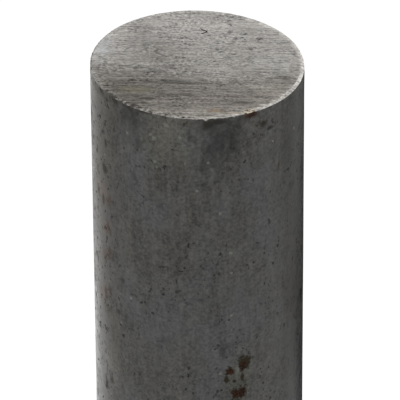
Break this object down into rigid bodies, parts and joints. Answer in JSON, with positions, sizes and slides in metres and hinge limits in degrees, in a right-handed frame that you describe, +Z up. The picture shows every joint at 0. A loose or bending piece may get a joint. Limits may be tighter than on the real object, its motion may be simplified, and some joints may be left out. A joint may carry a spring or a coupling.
{
  "type": "round steel bar",
  "caption": "Cut length of hot-rolled round steel bar for turning, forging or welding, dark with mill scale, its upper end bright from the saw.",
  "frame": {"origin": "centre of the foot face, on the floor", "axes": "+Z up along the bar; +X to the side where the sawn end is lowest and its dressed edge is widest; -Y is the front"},
  "size_m": [0.055, 0.055, 0.3],
  "materials": {
    "bar_steel": "dark mill scale with a little rust; the sawn end is bright bare steel"
  },
  "bodies": {
    "root": {"bar": "bar_steel"}
  },
  "joints": []
}
